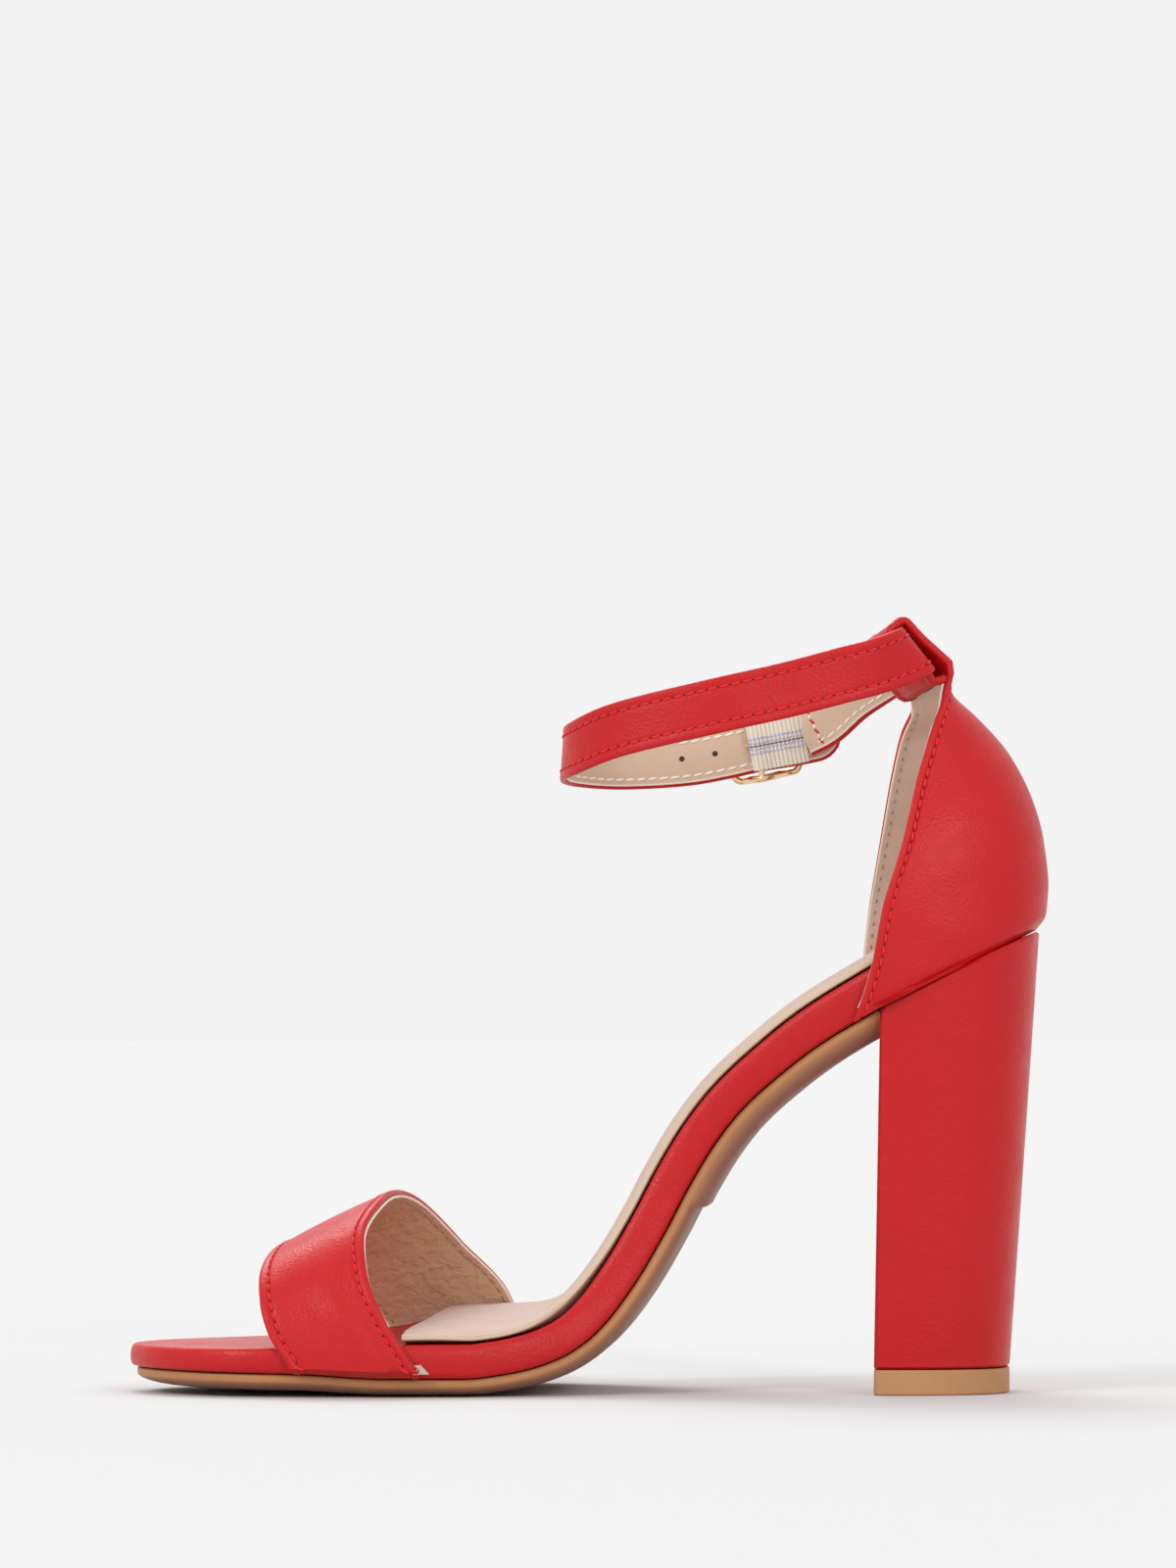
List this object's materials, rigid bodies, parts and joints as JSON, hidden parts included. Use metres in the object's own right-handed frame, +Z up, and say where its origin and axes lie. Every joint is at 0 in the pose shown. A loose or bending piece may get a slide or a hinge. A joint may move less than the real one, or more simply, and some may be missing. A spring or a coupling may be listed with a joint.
{
  "type": "heeled sandal",
  "caption": "Open-toe sandal with a tall block heel, a wide toe strap, a closed back quarter and a buckled ankle strap threaded through its tab",
  "frame": {"origin": "the middle of the top lift's flat underside, where the heel stands on the floor", "axes": "+Z up; the toe points to -X and the heel lies at +X; the inner (medial) side is at -Y and the outer side, with the buckle, at +Y"},
  "size_m": [0.2028, 0.0842, 0.1709],
  "materials": {
    "red_leather": "smooth red faux leather with a fine grain, satin",
    "pale_sock": "pale pinkish beige sock over thin padding, matt",
    "tan_sole": "tan moulded rubber, semi-gloss below",
    "cream_elastic": "ribbed cream elastic",
    "gold_metal": "polished pale gold plating"
  },
  "bodies": {
    "root": {"outsole": "tan_sole", "footbed": "red_leather", "insole": "pale_sock", "heel": "red_leather", "top_lift": "tan_sole", "toe_strap": "red_leather", "counter": "red_leather", "ankle_strap": "red_leather", "elastic": "cream_elastic", "buckle": "gold_metal", "prong": "gold_metal"}
  },
  "joints": []
}
